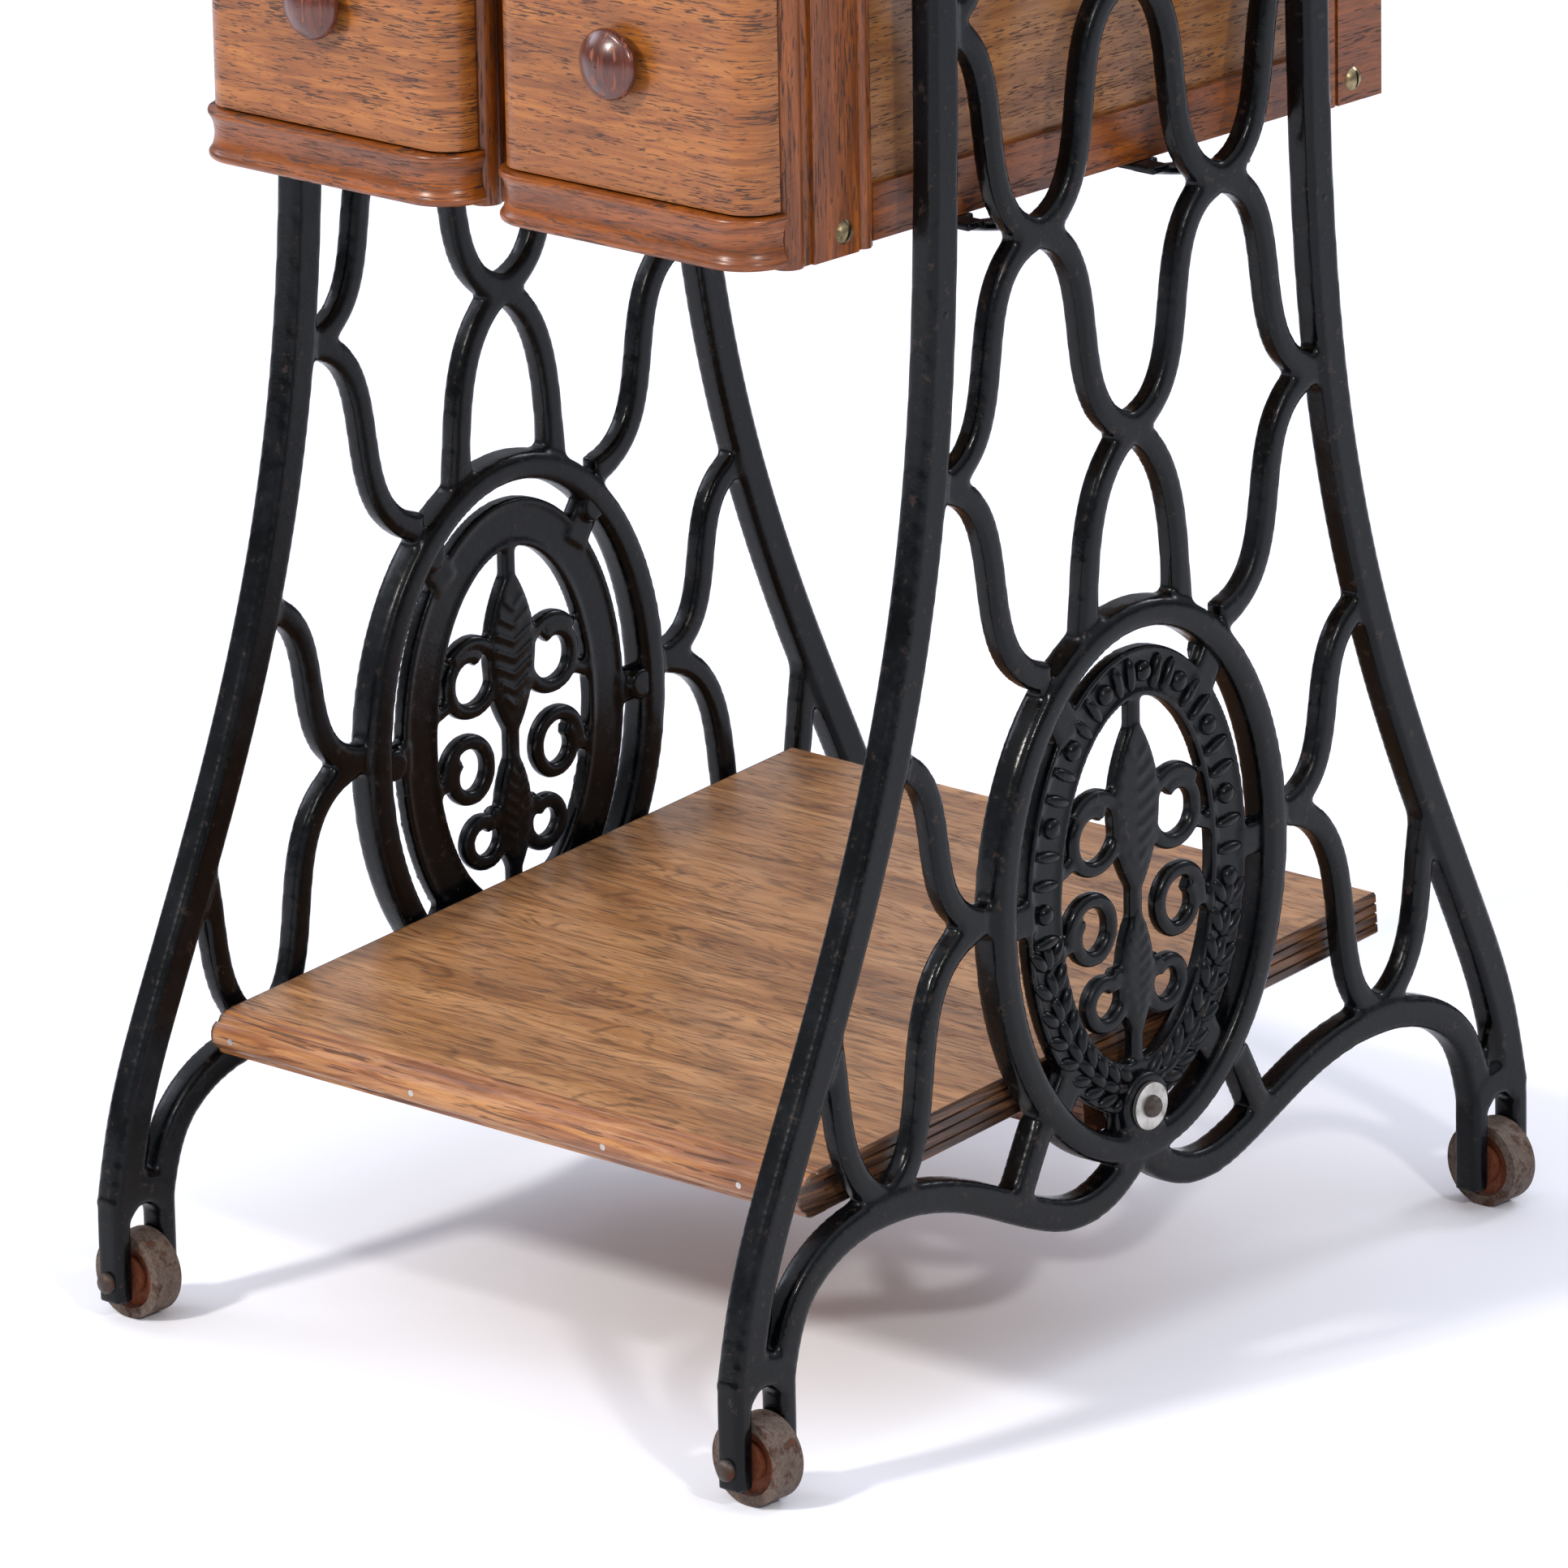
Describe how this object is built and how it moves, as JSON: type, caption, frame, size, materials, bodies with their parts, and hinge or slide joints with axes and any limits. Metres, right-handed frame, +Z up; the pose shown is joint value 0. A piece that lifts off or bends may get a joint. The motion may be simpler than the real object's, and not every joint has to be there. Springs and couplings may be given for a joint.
{
  "type": "treadle sewing machine",
  "caption": "Treadle sewing machine: openwork cast-iron ends on casters, a rocking wooden treadle, two banks of small oak drawers, and a black machine head on the table.",
  "frame": {"origin": "on the floor, at the middle of the stand", "axes": "+X from the left iron end to the right one, -Y towards the drawer fronts, +Z up"},
  "size_m": [0.45, 0.4724, 1.012],
  "materials": {
    "japanned_iron": "black japanned enamel, semi-gloss",
    "rusty_iron": "bare iron with brown rust",
    "dark_steel": "dark worn steel",
    "bright_steel": "bright steel",
    "aged_brass": "aged brass",
    "treadle_oak": "honey-brown oak, satin",
    "dark_oak": "dark polished wood",
    "drawer_oak": "golden-brown oak, varnished",
    "frame_oak": "reddish-brown oak, varnished",
    "plain_wood": "unfinished secondary wood",
    "table_oak": "golden-brown oak, varnished"
  },
  "bodies": {
    "stand": {"bank_screws": "aged_brass", "bearer_back": "japanned_iron", "bearer_front": "japanned_iron", "caster_pins": "dark_steel", "face_plate": "bright_steel", "iron_end_left": "japanned_iron", "iron_end_right": "japanned_iron", "left_bank_back": "plain_wood", "left_bank_base_moulding": "frame_oak", "left_bank_floor": "plain_wood", "left_bank_front_stiles": "frame_oak", "left_bank_shelf": "plain_wood", "left_bank_side_frames": "frame_oak", "left_bank_side_panels": "drawer_oak", "left_bank_top_board": "plain_wood", "machine_base": "table_oak", "machine_casting": "japanned_iron", "pivot_bolts": "bright_steel", "pivot_washers": "bright_steel", "right_bank_back": "plain_wood", "right_bank_base_moulding": "frame_oak", "right_bank_floor": "plain_wood", "right_bank_front_stiles": "frame_oak", "right_bank_shelf": "plain_wood", "right_bank_side_frames": "frame_oak", "right_bank_side_panels": "drawer_oak", "right_bank_top_board": "plain_wood", "slide_plate": "bright_steel", "spool_pins": "bright_steel", "table_screws": "dark_steel", "table_top": "table_oak", "tension_dial": "bright_steel"},
    "caster_wheel_back_left": {"caster_wheel_back_left": "rusty_iron"},
    "caster_wheel_back_right": {"caster_wheel_back_right": "rusty_iron"},
    "caster_wheel_front_left": {"caster_wheel_front_left": "rusty_iron"},
    "caster_wheel_front_right": {"caster_wheel_front_right": "rusty_iron"},
    "hand_wheel": {"hand_wheel": "japanned_iron"},
    "left_bank_lower_drawer": {"left_bank_lower_drawer_box": "plain_wood", "left_bank_lower_drawer_floor": "plain_wood", "left_bank_lower_drawer_front": "drawer_oak", "left_bank_lower_drawer_knob": "dark_oak"},
    "left_bank_upper_drawer": {"left_bank_upper_drawer_box": "plain_wood", "left_bank_upper_drawer_floor": "plain_wood", "left_bank_upper_drawer_front": "drawer_oak", "left_bank_upper_drawer_knob": "dark_oak"},
    "needle_bar": {"needle_bar": "bright_steel"},
    "presser_bar": {"presser_bar": "bright_steel"},
    "right_bank_lower_drawer": {"right_bank_lower_drawer_box": "plain_wood", "right_bank_lower_drawer_floor": "plain_wood", "right_bank_lower_drawer_front": "drawer_oak", "right_bank_lower_drawer_knob": "dark_oak"},
    "right_bank_upper_drawer": {"right_bank_upper_drawer_box": "plain_wood", "right_bank_upper_drawer_floor": "plain_wood", "right_bank_upper_drawer_front": "drawer_oak", "right_bank_upper_drawer_knob": "dark_oak"},
    "take_up_lever": {"take_up_lever": "bright_steel"},
    "treadle": {"treadle_batten": "treadle_oak", "treadle_board": "treadle_oak", "treadle_nosing": "treadle_oak", "treadle_nosing_nails": "dark_steel"}
  },
  "joints": [
    {"name": "caster_wheel_back_left_spin", "type": "hinge", "parent": "stand", "child": "caster_wheel_back_left", "pos_m": [-0.162, 0.216, 0.017], "axis": [0, 1, 0], "continuous": true},
    {"name": "caster_wheel_back_right_spin", "type": "hinge", "parent": "stand", "child": "caster_wheel_back_right", "pos_m": [0.162, 0.216, 0.017], "axis": [0, 1, 0], "continuous": true},
    {"name": "caster_wheel_front_left_spin", "type": "hinge", "parent": "stand", "child": "caster_wheel_front_left", "pos_m": [-0.162, -0.216, 0.017], "axis": [0, 1, 0], "continuous": true},
    {"name": "caster_wheel_front_right_spin", "type": "hinge", "parent": "stand", "child": "caster_wheel_front_right", "pos_m": [0.162, -0.216, 0.017], "axis": [0, 1, 0], "continuous": true},
    {"name": "treadle_rock", "type": "hinge", "parent": "stand", "child": "treadle", "pos_m": [0, 0, 0.099], "axis": [1, 0, 0], "range_deg": [-16, 7]},
    {"name": "left_lower_drawer_slide", "type": "slide", "parent": "stand", "child": "left_bank_lower_drawer", "axis": [0, -1, 0], "range_m": [0, 0.22]},
    {"name": "left_upper_drawer_slide", "type": "slide", "parent": "stand", "child": "left_bank_upper_drawer", "axis": [0, -1, 0], "range_m": [0, 0.22]},
    {"name": "right_lower_drawer_slide", "type": "slide", "parent": "stand", "child": "right_bank_lower_drawer", "axis": [0, -1, 0], "range_m": [0, 0.22]},
    {"name": "right_upper_drawer_slide", "type": "slide", "parent": "stand", "child": "right_bank_upper_drawer", "axis": [0, -1, 0], "range_m": [0, 0.22]},
    {"name": "hand_wheel_turn", "type": "hinge", "parent": "stand", "child": "hand_wheel", "pos_m": [0.1415, 0, 0.936], "axis": [1, 0, 0], "continuous": true},
    {"name": "needle_bar_travel", "type": "slide", "parent": "stand", "child": "needle_bar", "axis": [0, 0, -1], "range_m": [0, 0.024]},
    {"name": "presser_bar_lift", "type": "slide", "parent": "stand", "child": "presser_bar", "axis": [0, 0, 1], "range_m": [0, 0.007]},
    {"name": "take_up_swing", "type": "hinge", "parent": "stand", "child": "take_up_lever", "pos_m": [-0.118, -0.0229, 0.926], "axis": [0, 1, 0], "range_deg": [-18, 18]}
  ]
}
